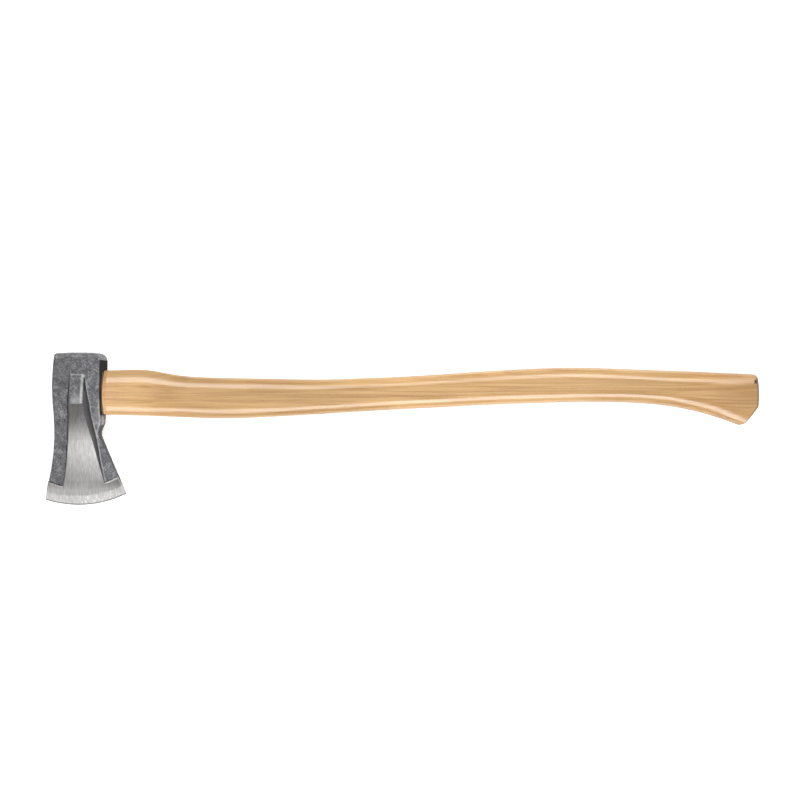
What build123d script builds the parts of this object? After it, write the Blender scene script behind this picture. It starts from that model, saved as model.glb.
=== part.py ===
from build123d import *
import math
import os

# A felling axe lying on its side. All sizes are in millimetres.
# It is drawn about the mouth of the eye: +X runs along the haft from the head to the knob,
# +Y from the cutting edge to the poll, and +Z out of the side that lies uppermost.
# At the end it is moved so that the origin is under the middle of the whole axe.

# Head seen from the side
POLL_Y = 50.4                     # flat striking face of the poll
POLL_CORNER_R = 4.0               # its corner with the top of the head
POLL_BEVEL = (3.0, 9.0)           # leaning facet where the poll meets the underside, along X and Y
POLL_BEVEL_R = 4.5                # corner between the striking face and that facet
TOP_LINE = [(-60.1, 10.0), (-59.4, -22.0), (-59.7, -47.0), (-61.3, -67.0), (-66.2, -99.0), (-77.0, -150.0)]
POLL_TOP_X = -57.7                # top of the head at the poll
UNDERSIDE_END = (-1.0, -39.0)     # lug below the eye, where the underside stops
NOTCH_TOP = (-4.7, -48.5)         # finger notch between the lug and the heel
NOTCH_BOTTOM = (-4.7, -54.0)
HEEL_LINE = [(2.7, -70.0), (12.4, -91.5), (19.8, -108.0), (38.2, -150.0)]
NOTCH_R = 3.0

# Cutting edge and its honed bevel, both arcs about one centre
EDGE_CENTRE = (-31.3, -7.0)
EDGE_R = 134.9
EDGE_HALF = 0.15                  # half the thickness left at the edge
HONED_WIDTH = 10.9
HONED_HALF = 3.0                  # half thickness where the honed bevel starts

# Half thickness of the cheeks, from the poll down to the bit
POLL_HALF = 17.3
POLL_EDGE_R = 8.0
CHEEK = [(0.0, 17.1), (-14.0, 16.2), (-30.0, 13.6), (-54.0, 8.8), (-70.0, 6.5), (-91.0, 4.7),
         (-112.0, 3.5), (-150.0, 2.4)]
TOP_EDGE_R = 2.2                  # rounding of the long edges along the top of the head

# Splitting wing on each cheek: it rises up a ramp to a crest, then its ground face falls to the bit
RAMP_FOOT = (23.0, 18.5)          # Y and half thickness
CREST = (-13.7, 26.7)
FACE_SLOPE = 0.2024               # fall of the ground face for each millimetre towards the edge
FACE_CROWN_R = 600.0              # crown of the ground face across the head
WING_DRAFT = 25.0                 # degrees, on the end and the top side of the wing
# Y, the ground face's X on the top side and on the haft side, and the haft side's draft in degrees
WING = [
    (23.0, -37.0, -19.9, 24.0),
    (-13.7, -36.1, -19.2, 26.0),
    (-42.0, -37.4, -14.4, 23.0),
    (-66.0, -40.2, -8.5, 18.0),
    (-91.5, -44.1, -3.0, 13.0),
    (-117.0, -49.5, 3.2, 13.0),
    (-126.0, -51.6, 5.6, 13.0),
]
LOFT_TOP = 30.0                   # height at which the wing's walls are drawn, above its crest
RAMP_CLEARANCE = 0.25             # rise past the crest that keeps the ramp's shape off the ground face

# Bit: the ground band that joins both wings' faces to the honed bevel
BIT_R = 112.0
BIT_HEIGHT = 8.0
BIT_FACE = 5.8                    # half thickness at the band's upper border

# Eye, from its mouth at X = 0 to the top of the head: half length, half width and end radius
EYE_MOUTH = (26.6, 9.8, 5.5)
EYE_TOP = (29.2, 11.4, 6.6)
EYE_TOP_X = -66.0
TONGUE_TOP_X = -58.4

# Wooden wedge in the tongue's kerf, and the two steel wedges across it
KERF_DEPTH = 44.0
KERF_TOP_THICK = 6.0
KERF_FOOT_THICK = 1.2
STEEL_DEPTH = 24.0
STEEL_WIDTH = 18.0
STEEL_TOP_THICK = 3.2
STEEL_FOOT_THICK = 0.6
STEEL_PROUD = 0.5
STEEL_Y = 13.0

# Haft: X, the back line, the belly line, half the thickness and the end radius of the section
HAFT = [
    (0.0, 26.6, -26.6, 9.8, 5.5),
    (3.0, 27.9, -27.8, 12.0, 5.0),
    (9.0, 28.3, -28.2, 12.9, 4.8),
    (20.0, 28.6, -28.4, 13.0, 4.8),
    (50.0, 28.9, -29.2, 13.3, 5.1),
    (62.0, 27.8, -29.6, 13.4, 5.3),
    (75.0, 25.5, -30.1, 13.5, 5.7),
    (100.0, 21.4, -31.1, 13.7, 6.4),
    (130.0, 19.3, -32.2, 13.7, 7.3),
    (172.0, 18.2, -32.2, 13.9, 8.3),
    (223.0, 17.4, -30.1, 14.0, 9.0),
    (274.0, 16.7, -27.2, 14.0, 9.5),
    (324.0, 18.1, -24.1, 14.0, 10.0),
    (375.0, 20.1, -21.1, 14.0, 10.0),
    (425.0, 23.2, -18.7, 14.0, 10.0),
    (476.0, 26.6, -15.9, 14.0, 10.0),
    (527.0, 29.5, -13.9, 14.0, 10.0),
    (577.0, 31.5, -12.4, 14.1, 10.0),
    (628.0, 31.0, -11.8, 14.3, 10.1),
    (678.0, 29.2, -13.4, 14.8, 10.2),
    (715.0, 27.8, -17.2, 15.2, 10.3),
    (750.0, 26.6, -24.0, 15.6, 10.4),
    (780.0, 25.2, -32.6, 15.9, 10.5),
    (805.0, 24.2, -41.6, 16.0, 10.5),
    (840.0, 22.4, -53.2, 16.0, 10.5),
]

# Fawn's foot: the knob's end face and the slanted cut below it
END_TOP = (823.4, 30.0)
END_KNEE = (823.4, -17.2)
END_TOE = (807.0, -42.0)
END_CHAMFER = 1.6
END_REACH = 860.0                 # beyond the knob, where the shape that cuts its end stops

# Room beyond the object for cutting tools
OUTSIDE = 100.0


def slab(outline):
    """The side outline as a solid through the whole thickness."""
    return extrude(outline, amount=OUTSIDE, both=True)


def head_outline():
    """Side view of the head, running past the cutting edge, which is cut later."""
    poll_start = (POLL_TOP_X + POLL_CORNER_R, POLL_Y)
    top_start = (POLL_TOP_X, POLL_Y - POLL_CORNER_R)
    bevel_start = (-POLL_BEVEL[0], POLL_Y)
    bevel_end = (0.0, POLL_Y - POLL_BEVEL[1])
    top = Spline([top_start] + TOP_LINE, tangents=[(0, -1), (-0.2, -1)])
    heel = Spline([NOTCH_BOTTOM] + HEEL_LINE)
    sides = [
        RadiusArc(top_start, poll_start, POLL_CORNER_R),
        Line(poll_start, bevel_start),
        Line(bevel_start, bevel_end),
        Line(bevel_end, UNDERSIDE_END),
        Line(UNDERSIDE_END, NOTCH_TOP),
        Line(NOTCH_TOP, NOTCH_BOTTOM),
        heel,
        Line(HEEL_LINE[-1], TOP_LINE[-1]),
        top,
    ]
    face = make_face(sides)
    notch = [v for v in face.vertices() if NOTCH_BOTTOM[1] - 1 < v.Y < UNDERSIDE_END[1] + 1 and v.X > -10]
    face = fillet(notch, NOTCH_R)
    corner = [v for v in face.vertices() if v.Y > POLL_Y - 0.1 and v.X > -POLL_BEVEL[0] - 0.1]
    return fillet(corner, POLL_BEVEL_R)


def cheek_profile():
    """End view of the head without its wings: Y across, thickness up."""
    top = [(POLL_Y - POLL_EDGE_R, POLL_HALF), CHEEK[0]]
    side = [
        RadiusArc((POLL_Y, POLL_HALF - POLL_EDGE_R), top[0], -POLL_EDGE_R),
        Line(*top),
        Spline(CHEEK, tangents=[(-1, -0.01), (-1, -0.02)]),
        Line(CHEEK[-1], (CHEEK[-1][0], 0)),
        Line((CHEEK[-1][0], 0), (POLL_Y, 0)),
        Line((POLL_Y, 0), (POLL_Y, POLL_HALF - POLL_EDGE_R)),
    ]
    half = make_face(side)
    return Plane.YZ * (half + mirror(half, about=Plane.XZ))


def face_height(y):
    """Half thickness of the ramp or the ground face on the wing's middle line."""
    if y > CREST[0]:
        ramp_slope = (CREST[1] - RAMP_FOOT[1]) / (CREST[0] - RAMP_FOOT[0])
        return CREST[1] + ramp_slope * (y - CREST[0])
    return CREST[1] + FACE_SLOPE * (y - CREST[0])


def wing_outline(z):
    """The wing's walls cut at height z: each wall leans out by its draft below the face."""
    top_side, haft_side = [], []
    for y, x_top, x_haft, draft in WING:
        drop = face_height(y) - z
        end = y + drop * math.tan(math.radians(WING_DRAFT)) if y == RAMP_FOOT[0] else y
        top_side.append((x_top - drop * math.tan(math.radians(WING_DRAFT)), end, z))
        haft_side.append((x_haft + drop * math.tan(math.radians(draft)), end, z))
    return Wire.make_polygon([Vector(*p) for p in top_side + haft_side[::-1]])


def ground_shape():
    """Everything under the ramp and under the crowned ground face, on the upper side."""
    angle = math.atan(FACE_SLOPE)
    down = FACE_CROWN_R
    centre = Vector(EDGE_CENTRE[0], CREST[0] + down * math.sin(angle), CREST[1] - down * math.cos(angle))
    along = Vector(0, math.cos(angle), math.sin(angle))
    crowned = Plane(origin=centre, z_dir=along) * Cylinder(FACE_CROWN_R, 6 * OUTSIDE)
    y_far, y_low = RAMP_FOOT[0] + 20, -160.0
    clear = CREST[1] + RAMP_CLEARANCE * (CREST[0] - y_low)
    ramp = make_face(Polyline((y_far, 0), (y_far, face_height(y_far)), CREST, (y_low, clear), (y_low, 0),
                              close=True))
    return crowned & extrude(Plane.YZ * ramp, amount=OUTSIDE, both=True)


def wing_and_bit():
    """One side's splitting wing with the ground band of the bit below it."""
    wing = Solid.make_loft([wing_outline(0.0), wing_outline(LOFT_TOP)], ruled=True)
    lean = math.tan(math.radians(WING_DRAFT))
    inner = BIT_R - BIT_FACE * lean
    middle = Location((EDGE_CENTRE[0], EDGE_CENTRE[1], BIT_HEIGHT / 2))
    band = middle * Cylinder(EDGE_R + 20, BIT_HEIGHT)
    band -= middle * Cone(inner, inner + BIT_HEIGHT * lean, BIT_HEIGHT)
    return (wing + band) & ground_shape()


def honed_envelope():
    """Two flat cones base to base: their rim is the cutting edge and their flanks the honed bevels."""
    slope = (HONED_HALF - EDGE_HALF) / HONED_WIDTH
    apex = EDGE_HALF + slope * EDGE_R
    half = make_face(Polyline((0, apex), (0, -apex), (EDGE_R, -EDGE_HALF), (EDGE_R, EDGE_HALF), close=True))
    disc = revolve(Plane.XZ * half, axis=Axis.Z)
    return Location((EDGE_CENTRE[0], EDGE_CENTRE[1], 0)) * disc


def oval(x, back, belly, half_thick, end_r):
    """Section across the haft at X: two crowned sides and two round ends, as four tangent arcs."""
    middle, half_height = (back + belly) / 2, (back - belly) / 2
    reach = half_height - end_r
    side_r = (reach ** 2 + half_thick ** 2 - end_r ** 2) / (2 * (half_thick - end_r))
    turn = math.atan2(reach, side_r - half_thick)
    y = reach + end_r * math.sin(turn)
    z = end_r * math.cos(turn)
    upper = ThreePointArc((-y, z), (0, half_thick), (y, z))
    back_end = ThreePointArc((y, z), (half_height, 0), (y, -z))
    lower = ThreePointArc((y, -z), (0, -half_thick), (-y, -z))
    belly_end = ThreePointArc((-y, -z), (-half_height, 0), (-y, z))
    section = Plane(origin=(x, middle, 0), x_dir=(0, 1, 0), z_dir=(1, 0, 0))
    return section * Wire([upper.edge(), back_end.edge(), lower.edge(), belly_end.edge()])


def eye_plug():
    """The tapered oval that fills the eye, wider at the top of the head than at its mouth."""
    ends = []
    for x, (half_length, half_width, end_r) in ((0.0, EYE_MOUTH), (EYE_TOP_X, EYE_TOP)):
        ends.append(oval(x, half_length, -half_length, half_width, end_r))
    return Solid.make_loft(ends, ruled=True)


def make_head(plug):
    """One forging: body, wings and bit, cut to its outline and edge, with the eye through it."""
    side = wing_and_bit()
    body = extrude(cheek_profile(), amount=OUTSIDE, both=True)
    head = (body + side + mirror(side, about=Plane.XY)) & slab(head_outline()) & honed_envelope()
    top_edges = [
        e for e in head.edges()
        if e.bounding_box().max.X < POLL_TOP_X + 0.1 and abs(e.center().Z) > CHEEK[-2][1]
        and e.length > POLL_EDGE_R * 2
    ]
    return fillet(top_edges, TOP_EDGE_R) - plug


def wedge(depth, top_thick, foot_thick, width):
    """A wedge driven along +X from the tongue's top: thick at X = 0, thin at its foot."""
    shape = make_face(Polyline((0, top_thick / 2), (depth, foot_thick / 2), (depth, -foot_thick / 2),
                               (0, -top_thick / 2), close=True))
    return extrude(shape, amount=width / 2, both=True)


def make_steel_wedge(y):
    """Steel wedge across the wooden one, standing slightly proud of the wood."""
    shape = wedge(STEEL_DEPTH, STEEL_TOP_THICK, STEEL_FOOT_THICK, STEEL_WIDTH)
    return Location((TONGUE_TOP_X - STEEL_PROUD, y, 0)) * shape


def make_kerf_wedge(plug):
    """Wooden wedge that fills the kerf over the whole length of the eye."""
    shape = Location((TONGUE_TOP_X, 0, 0), (90, 0, 0)) * wedge(
        KERF_DEPTH, KERF_TOP_THICK, KERF_FOOT_THICK, OUTSIDE)
    return shape & plug


def make_haft(plug):
    """Tongue, curved grip and fawn's foot, cut across at the knob."""
    grip = Solid.make_loft([oval(*station) for station in HAFT])
    lean = (END_KNEE[0] - END_TOE[0]) / (END_KNEE[1] - END_TOE[1])
    below = (END_TOE[0] - lean * END_TOP[1], END_TOE[1] - END_TOP[1])
    cut = make_face(Polyline(END_TOP, END_KNEE, below, (END_REACH, below[1]), (END_REACH, END_TOP[1]),
                             close=True))
    grip -= slab(cut)
    end_edges = [e for e in grip.edges() if e.center().X > END_TOE[0] - 4 and e.length < 70]
    rim = [e for e in end_edges if e.bounding_box().min.X > END_TOE[0] - 3 and abs(e.center().Z) > 0.5]
    grip = chamfer(rim, END_CHAMFER)
    tongue = plug & Pos(TONGUE_TOP_X + OUTSIDE / 2, 0, 0) * Box(OUTSIDE, OUTSIDE, OUTSIDE)
    return tongue + grip


def build():
    plug = eye_plug()
    steel = {
        "steel_wedge_poll_side": make_steel_wedge(STEEL_Y),
        "steel_wedge_bit_side": make_steel_wedge(-STEEL_Y),
    }
    kerf_wedge = make_kerf_wedge(plug)
    haft = make_haft(plug) - kerf_wedge
    for piece in steel.values():
        haft -= piece
        kerf_wedge -= piece
    nodes = {"axe_head": make_head(plug), "haft": haft, "kerf_wedge": kerf_wedge, **steel}
    box = Compound(list(nodes.values())).bounding_box()
    middle = box.center()
    shift = Location((-middle.X, -middle.Y, -box.min.Z))
    return {name: shift * piece for name, piece in nodes.items()}


os.makedirs("parts", exist_ok=True)
for name, piece in build().items():
    export_step(piece, f"parts/{name}.step")
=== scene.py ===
import math

import bmesh
import bpy
import numpy as np
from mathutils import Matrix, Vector, noise


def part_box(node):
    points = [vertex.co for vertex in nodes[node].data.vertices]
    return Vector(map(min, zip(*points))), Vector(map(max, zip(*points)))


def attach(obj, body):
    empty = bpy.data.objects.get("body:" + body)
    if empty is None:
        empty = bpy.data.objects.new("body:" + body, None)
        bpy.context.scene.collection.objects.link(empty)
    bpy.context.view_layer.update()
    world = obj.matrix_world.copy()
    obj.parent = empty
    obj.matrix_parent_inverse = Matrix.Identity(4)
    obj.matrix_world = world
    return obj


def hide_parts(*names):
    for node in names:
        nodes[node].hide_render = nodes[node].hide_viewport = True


# A felling axe lying on its side, seen from straight above.
# Shapes are worked out in millimetres about the mouth of the eye: X along the haft towards the
# knob, Y towards the poll and Z up, with Z = 0 in the axe's middle plane.

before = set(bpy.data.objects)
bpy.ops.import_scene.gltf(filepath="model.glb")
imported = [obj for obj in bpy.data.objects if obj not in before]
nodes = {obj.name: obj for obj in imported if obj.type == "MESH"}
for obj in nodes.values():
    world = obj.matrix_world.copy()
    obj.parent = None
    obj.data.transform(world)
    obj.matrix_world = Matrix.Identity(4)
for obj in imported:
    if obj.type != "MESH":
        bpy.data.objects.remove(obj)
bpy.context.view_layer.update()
head_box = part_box("axe_head")
haft_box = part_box("haft")

# Head seen from the side
POLL_Y = 50.4
POLL_CORNER_R = 4.0
POLL_BEVEL = (3.0, 9.0)
POLL_BEVEL_R = 4.5
POLL_TOP_X = -57.7
TOP_LINE = [(-60.1, 10.0), (-59.4, -22.0), (-59.7, -47.0), (-61.3, -67.0), (-66.2, -99.0), (-77.0, -150.0)]
UNDERSIDE_END = (-1.0, -39.0)
NOTCH = (-4.7, -48.5)
HEEL_LINE = [(-4.7, -54.0), (2.7, -70.0), (12.4, -91.5), (19.8, -108.0), (39.4, -150.0)]

# Cutting edge and the honed bevel above it
EDGE_CENTRE = (-31.3, -7.0)
EDGE_R = 134.9
EDGE_HALF = 0.15
HONED_R = 124.0
HONED_HALF = 3.0

# Half thickness of the head: the poll, then the cheeks as (Y, half thickness)
POLL_CROWN, POLL_CROWN_FROM, POLL_MIDDLE = 0.7, 30.0, -29.0
POLL_HALF = 17.3
POLL_EDGE_R = 8.0
CHEEK = [(0.0, 17.1), (-14.0, 16.2), (-30.0, 13.6), (-54.0, 8.8), (-70.0, 6.5), (-91.0, 4.7),
         (-112.0, 3.5), (-150.0, 2.4)]
# Rounding of the outer edges, which is least from BIT_START and BIT_RUN_IN on
TOP_EDGE_R, HAFT_EDGE_R, BIT_EDGE_R = 2.2, 0.7, 0.25
BIT_START, BIT_RUN_IN = -100.0, 14.0

# Splitting wing: Y, the face's X on the top side and on the haft side, the haft side's draft
RAMP_FOOT = (23.0, 18.5)
CREST = (-13.7, 26.7)
FACE_SLOPE = 0.2024
FACE_CROWN_R = 600.0
HEEL_FALL, HEEL_REACH, HEEL_START, HEEL_FULL = 1.8, 15.0, 95.0, 108.0
WING_DRAFT = 25.0
WING = [(23.0, -37.0, -19.7, 36.0), (-13.7, -36.1, -19.1, 31.0), (-42.0, -37.4, -14.4, 28.0),
        (-66.0, -40.0, -8.5, 20.5), (-91.5, -43.6, -3.0, 13.0), (-117.0, -49.0, 3.2, 13.0),
        (-140.0, -54.1, 8.9, 13.0)]
BIT_R, BIT_DIP, BIT_FACE = 112.0, 1.0, 5.8

# Eye: half length, half width and end radius at its mouth and its top
EYE_MOUTH = (26.6, 9.8, 5.5)
EYE_TOP = (29.2, 11.4, 6.6)
EYE_TOP_X = -66.0
TONGUE_TOP_X, TONGUE_EDGE = -58.4, 0.4
# Haft: X, Y of the back, Y of the belly, half thickness and end radius
HAFT = [
    (0.0, 26.6, -26.6, 9.8, 5.5), (3.0, 27.9, -27.8, 12.0, 5.0), (9.0, 28.3, -28.2, 12.9, 4.8),
    (20.0, 28.6, -28.4, 13.0, 4.8), (50.0, 28.9, -29.2, 13.3, 5.1), (62.0, 27.8, -29.6, 13.4, 5.3),
    (75.0, 25.5, -30.1, 13.5, 5.7), (100.0, 21.4, -31.1, 13.7, 6.4), (130.0, 19.3, -32.2, 13.7, 7.3),
    (172.0, 18.2, -32.2, 13.9, 8.3), (223.0, 17.4, -30.1, 14.0, 9.0), (274.0, 16.7, -27.2, 14.0, 9.5),
    (324.0, 18.1, -24.1, 14.0, 10.0), (375.0, 20.1, -21.1, 14.0, 10.0), (425.0, 23.2, -18.7, 14.0, 10.0),
    (476.0, 26.6, -15.9, 14.0, 10.0), (527.0, 29.5, -13.9, 14.0, 10.0), (577.0, 31.5, -12.4, 14.1, 10.0),
    (628.0, 31.0, -11.8, 14.3, 10.1), (678.0, 29.2, -13.4, 14.8, 10.2), (715.0, 27.8, -17.2, 15.2, 10.3),
    (750.0, 26.6, -24.0, 15.6, 10.4), (780.0, 25.2, -32.6, 15.9, 10.5), (805.0, 24.2, -41.6, 16.0, 10.5),
    (840.0, 22.4, -53.2, 16.0, 10.5)]
END_TOP = (823.4, 30.0)
END_KNEE = (823.4, -17.2)
END_TOE = (807.0, -42.0)
END_SWELL = 1.4
END_RIM = [(0.0, 1.5), (0.06, 1.1), (0.2, 0.7), (0.44, 0.35), (0.75, 0.13), (1.1, 0.03), (1.5, 0.0)]
EGG_LEAN = 0.055
SHOULDER, SHOULDER_FULL, SHOULDER_R = 1.2, 3.0, 0.5

# Marks on the wood: X, Y, half length and half width, after each stain's strength
KNOT = (820.9, 13.4, 2.3, 3.1)
STAINS = [(0.45, (76.0, -3.0, 20.0, 11.0)), (0.9, (58.0, 7.6, 13.0, 0.8)), (0.5, (84.0, 1.0, 9.0, 1.0))]

# Wedges in the tongue's top
KERF_DEPTH, KERF_WIDTH, KERF_TOP_THICK, KERF_FOOT_THICK = 44.0, 80.0, 6.0, 1.2
STEEL_DEPTH, STEEL_WIDTH, STEEL_TOP_THICK, STEEL_FOOT_THICK = 24.0, 18.0, 3.2, 0.6
STEEL_Y = 13.0

# How finely the meshes are divided. Each band of the head's rows starts at a Y on the middle line
HEAD_BANDS = [(POLL_Y, 16), (41.4, 22), (24.5, 9), (22.0, 46), (-12.5, 7), (-15.0, 32), (-38.0, 26),
              (-56.0, 82), (-117.5, 11), (-120.5, 13), (-130.3, 5), (-131.7, 13)]
HEAD_COLUMNS = [27, 9, 44, 9, 28]
WALL_ROWS = 22
SIDE_COLUMNS, END_COLUMNS = 22, 26
TONGUE_STEP, GRIP_STEP = 2.4, 1.5
END_RUN = 785.0                   # from here on the haft's rings lean over to match the knob's end

MM = 0.001
# Where the mouth of the eye is in the row frame, from the CAD's own corners
MOUTH = Vector((haft_box[1].x - END_KNEE[0] * MM, head_box[1].y - POLL_Y * MM,
                (head_box[0].z + head_box[1].z) / 2))


# ---------------------------------------------------------------- shape helpers

def spline(points):
    """A natural cubic through (t, value) points, run on straight past both ends."""
    t, v = (np.array(c, float) for c in zip(*sorted(points)))
    h = np.diff(t)
    system = np.eye(len(t))
    right = np.zeros(len(t))
    for i in range(1, len(t) - 1):
        system[i, i - 1:i + 2] = h[i - 1], 2 * (h[i - 1] + h[i]), h[i]
        right[i] = 6 * ((v[i + 1] - v[i]) / h[i] - (v[i] - v[i - 1]) / h[i - 1])
    m = np.linalg.solve(system, right)

    def at(x):
        x = np.asarray(x, float)
        inside = np.clip(x, t[0], t[-1])
        i = np.clip(np.searchsorted(t, inside) - 1, 0, len(h) - 1)
        a, b = t[i + 1] - inside, inside - t[i]
        cubic = (m[i] * a ** 3 + m[i + 1] * b ** 3) / (6 * h[i])
        cubic += (v[i] / h[i] - m[i] * h[i] / 6) * a + (v[i + 1] / h[i] - m[i + 1] * h[i] / 6) * b
        first = (v[1] - v[0]) / h[0] - h[0] * m[1] / 6
        last = (v[-1] - v[-2]) / h[-1] + h[-1] * m[-2] / 6
        return cubic + np.where(x < t[0], first, last) * (x - inside)
    return at


def soft_min(a, b, r):
    """The lower of two heights, with the crease between them rounded over about r."""
    h = np.clip(0.5 + 0.5 * (b - a) / r, 0, 1)
    return b + (a - b) * h - r * h * (1 - h)


def soft_max(a, b, r):
    return -soft_min(-a, -b, r)


def rounded(d, r):
    """How far a surface drops at distance d inside an edge of radius r."""
    d = np.clip(d, 0, r)
    return r - np.sqrt(np.maximum(r * r - (r - d) ** 2, 0))


def step_up(low, high, value):
    """0 below low, 1 above high, smooth between."""
    t = np.clip((value - low) / (high - low), 0, 1)
    return t * t * (3 - 2 * t)


def line(distance, width):
    """1 on a line, falling to 0 at width from it."""
    return 1 - step_up(0.35 * width, width, np.abs(distance))


def between(low, high, soft, value):
    """1 from low to high, falling to 0 outside over about soft."""
    return step_up(low - soft, low + soft, value) * (1 - step_up(high - soft, high + soft, value))


def eased(n, pull):
    """n + 1 values from 0 to 1, closer together at both ends."""
    t = np.linspace(0, 1, n + 1)
    return (1 - pull) * t + pull * (0.5 - 0.5 * np.cos(math.pi * t))


def lay(points):
    """Millimetres about the mouth of the eye, as metres in the row frame."""
    return np.asarray(points, float) * MM + np.array(MOUTH)


def mesh_piece(name, points, faces):
    mesh = bpy.data.meshes.new(name)
    mesh.from_pydata(lay(points).tolist(), [], faces)
    mesh.validate()
    piece = bpy.data.objects.new(name, mesh)
    bpy.context.scene.collection.objects.link(piece)
    return piece


def tidy_mesh(piece, gap):
    """Joins points closer than gap (mm) and turns the faces outwards."""
    work = bmesh.new()
    work.from_mesh(piece.data)
    bmesh.ops.remove_doubles(work, verts=work.verts, dist=gap * MM)
    bmesh.ops.recalc_face_normals(work, faces=work.faces)
    work.to_mesh(piece.data)
    work.free()


def subtract(piece, cutter):
    cut = piece.modifiers.new("cut", "BOOLEAN")
    cut.operation = "DIFFERENCE"
    cut.solver = "EXACT"
    cut.object = cutter
    bpy.context.view_layer.update()
    shape = bpy.data.meshes.new_from_object(piece.evaluated_get(bpy.context.evaluated_depsgraph_get()))
    piece.modifiers.clear()
    piece.data = shape
    bpy.data.objects.remove(cutter)


def points_of(piece):
    """The piece's points in millimetres about the mouth of the eye."""
    flat = np.zeros(len(piece.data.vertices) * 3)
    piece.data.vertices.foreach_get("co", flat)
    return (flat.reshape(-1, 3) - np.array(MOUTH)) / MM


def normals_of(piece):
    flat = np.zeros(len(piece.data.vertices) * 3)
    piece.data.vertex_normals.foreach_get("vector", flat)
    return flat.reshape(-1, 3)


def move_points(piece, points):
    piece.data.vertices.foreach_set("co", lay(points).ravel())
    piece.data.update()


NO_CREASE, CREASE = 180.0, 50.0


def smooth_shade(piece, crease):
    """Smooth shading with sharp edges where faces meet at more than crease degrees."""
    piece.data.shade_smooth()
    piece.data.set_sharp_from_angle(angle=math.radians(crease))


def paint(piece, name, values):
    """Stores one number for each point, which a material reads by name."""
    layer = piece.data.attributes.new(name, "FLOAT", "POINT")
    layer.data.foreach_set("value", np.asarray(values, np.float32))


def noise_at(points, size, seed):
    """Smooth noise from -1 to 1 at each point, with lumps about size across."""
    shift = Vector((seed * 17.3, seed * 5.1, seed * 11.7))
    scale = 1 / np.asarray(size, float)
    return np.array([noise.noise(Vector(p) + shift) for p in (points * scale).tolist()])


# ---------------------------------------------------------------- sections of the haft

def oval(back, belly, half_thick, end_r):
    """Y, Z and outward normal of a section: two crowned sides and two round ends, as tangent arcs.
    The sizes may differ from point to point round the section."""
    middle, half_height = (back + belly) / 2, (back - belly) / 2
    reach = half_height - end_r
    side_r = (reach ** 2 + half_thick ** 2 - end_r ** 2) / (2 * (half_thick - end_r))
    turn = np.arctan2(reach, side_r - half_thick)
    side = np.arange(SIDE_COLUMNS) / SIDE_COLUMNS
    end = np.arange(END_COLUMNS) / END_COLUMNS
    share = np.concatenate([side, end, side, end])
    on_side = np.concatenate([np.ones(SIDE_COLUMNS), np.zeros(END_COLUMNS)] * 2) > 0
    lower = np.arange(len(share)) >= len(share) // 2
    lean = np.where(on_side, turn * (2 * share - 1), turn + (math.pi - 2 * turn) * share) + math.pi * lower
    across, up = np.sin(lean), np.cos(lean)
    flip = np.where(lower, -1, 1)
    y = np.where(on_side, side_r * across, flip * reach + end_r * across)
    z = np.where(on_side, side_r * up - flip * (side_r - half_thick), end_r * up)
    return y + middle, z, across, up


def skin(rings):
    """Quads between rings of equal length, numbered one after another, and a face over each end."""
    n = len(rings[0])
    faces = []
    for i in range(len(rings) - 1):
        for j in range(n):
            k = (j + 1) % n
            faces.append((i * n + j, i * n + k, (i + 1) * n + k, (i + 1) * n + j))
    faces.append(tuple(range(n)))
    faces.append(tuple(range((len(rings) - 1) * n, len(rings) * n)))
    return faces


def eye_section(x):
    """Section of the eye, and of the tongue that fills it."""
    t = x / EYE_TOP_X
    half_length, half_width, end_r = (a + (b - a) * t for a, b in zip(EYE_MOUTH, EYE_TOP))
    return oval(half_length, -half_length, half_width, end_r)


def eye_rings(places):
    rings = []
    for x in places:
        y, z, _, _ = eye_section(x)
        rings.append(np.stack([np.full_like(y, x), y, z], 1))
    return rings


# ---------------------------------------------------------------- head

cheek_spline = spline([(45.0, POLL_HALF), (20.0, POLL_HALF)] + CHEEK)
top_outline_spline = spline([(y, x) for x, y in TOP_LINE] + [(POLL_Y - POLL_CORNER_R, POLL_TOP_X)])
heel_spline = spline([(y, x) for x, y in HEEL_LINE])
face_top_spline = spline([(y, x) for y, x, _, _ in WING])
face_haft_spline = spline([(y, x) for y, _, x, _ in WING])
draft_spline = spline([(y, d) for y, _, _, d in WING])


def wing_y(y):
    """Y held at the wing's upper end, so that its lines run straight on above it."""
    return np.minimum(y, RAMP_FOOT[0])


def top_outline(y):
    """X of the head's top, with the poll's rounded corner."""
    corner = POLL_Y - POLL_CORNER_R
    up = np.clip(y - corner, 0, POLL_CORNER_R)
    return top_outline_spline(np.minimum(y, corner)) + rounded(POLL_CORNER_R - up, POLL_CORNER_R)


def haft_outline(y):
    """X of the head's underside: the poll's bevel, the flat round the eye, lug, notch and heel."""
    bevel_foot = POLL_Y - POLL_BEVEL[1]
    bevel = (bevel_foot - y) * POLL_BEVEL[0] / POLL_BEVEL[1] - rounded(POLL_Y - y, POLL_BEVEL_R)
    lean, end = UNDERSIDE_END
    flat = lean * (bevel_foot - y) / (bevel_foot - end)
    lug = lean + (y - end) * (NOTCH[0] - lean) / (NOTCH[1] - end)
    above = soft_min(soft_min(flat, bevel, 0.5), soft_max(lug, NOTCH[0], 1.2), 0.6)
    return np.where(y > NOTCH[1] - 2, above, soft_max(heel_spline(y), NOTCH[0], 1.2))


def face_height(x, y):
    """Ground face: it falls towards the edge, is crowned across the head and thins out at the heel."""
    heel = HEEL_FALL * step_up(-HEEL_REACH, 0, x - heel_spline(y)) * step_up(HEEL_START, HEEL_FULL, -y)
    return CREST[1] + FACE_SLOPE * (y - CREST[0]) - (x - EDGE_CENTRE[0]) ** 2 / (2 * FACE_CROWN_R) - heel


def ramp_height(y):
    slope = (CREST[1] - RAMP_FOOT[1]) / (CREST[0] - RAMP_FOOT[0])
    return CREST[1] + slope * (y - CREST[0])


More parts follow.
